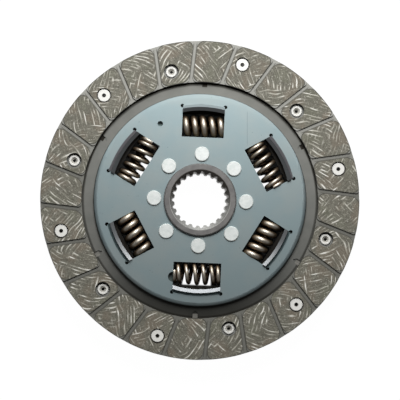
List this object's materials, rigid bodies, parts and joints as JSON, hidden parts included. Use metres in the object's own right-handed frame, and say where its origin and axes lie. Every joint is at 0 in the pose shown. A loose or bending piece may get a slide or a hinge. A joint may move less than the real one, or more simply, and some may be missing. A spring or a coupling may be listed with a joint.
{
  "type": "clutch disc",
  "caption": "Dry clutch driven disc: a splined hub, riveted cover plates, coil damper springs in windows, and two riveted ring facings with slanting grooves.",
  "frame": {"origin": "on the axis, at the rear end of the hub, which the disc rests on when it lies flat", "axes": "+Z along the input shaft's axis, from the hub's rear end to the side with the longer view, here called the front; +Y through the middle of a short spring window"},
  "size_m": [0.216, 0.216, 0.0274],
  "materials": {
    "hub_steel": "machined, dull",
    "hub_rivet_steel": "bright, satin",
    "cover_steel": "blue-grey satin",
    "disc_steel": "oiled spring steel",
    "spring_steel": "dark, oiled, glossy",
    "washer_fibre": "matt fibre",
    "friction_lining": "matt, woven fibre in resin",
    "facing_rivet_metal": "bright, satin"
  },
  "bodies": {
    "hub_assembly": {"hub": "hub_steel", "hub_rivets": "hub_rivet_steel", "front_cover_plate": "cover_steel", "rear_cover_plate": "cover_steel", "front_friction_washer": "washer_fibre", "rear_friction_washer": "washer_fibre", "long_damper_spring_1": "spring_steel", "long_damper_spring_2": "spring_steel", "long_damper_spring_3": "spring_steel", "short_damper_spring_1": "spring_steel", "short_damper_spring_2": "spring_steel", "short_damper_spring_3": "spring_steel"},
    "friction_ring": {"driven_disc": "disc_steel", "driven_disc_rear_plate": "disc_steel", "front_facing": "friction_lining", "rear_facing": "friction_lining", "front_facing_rivets": "facing_rivet_metal", "rear_facing_rivets": "facing_rivet_metal"}
  },
  "joints": [
    {"name": "damper_twist", "type": "hinge", "parent": "hub_assembly", "child": "friction_ring", "pos_m": [0, 0, 0.0194], "axis": [0, 0, 1], "range_deg": [-4, 4], "stiffness_Nm_per_rad": 600, "deforming": ["long_damper_spring_1", "long_damper_spring_2", "long_damper_spring_3", "short_damper_spring_1", "short_damper_spring_2", "short_damper_spring_3"]}
  ]
}
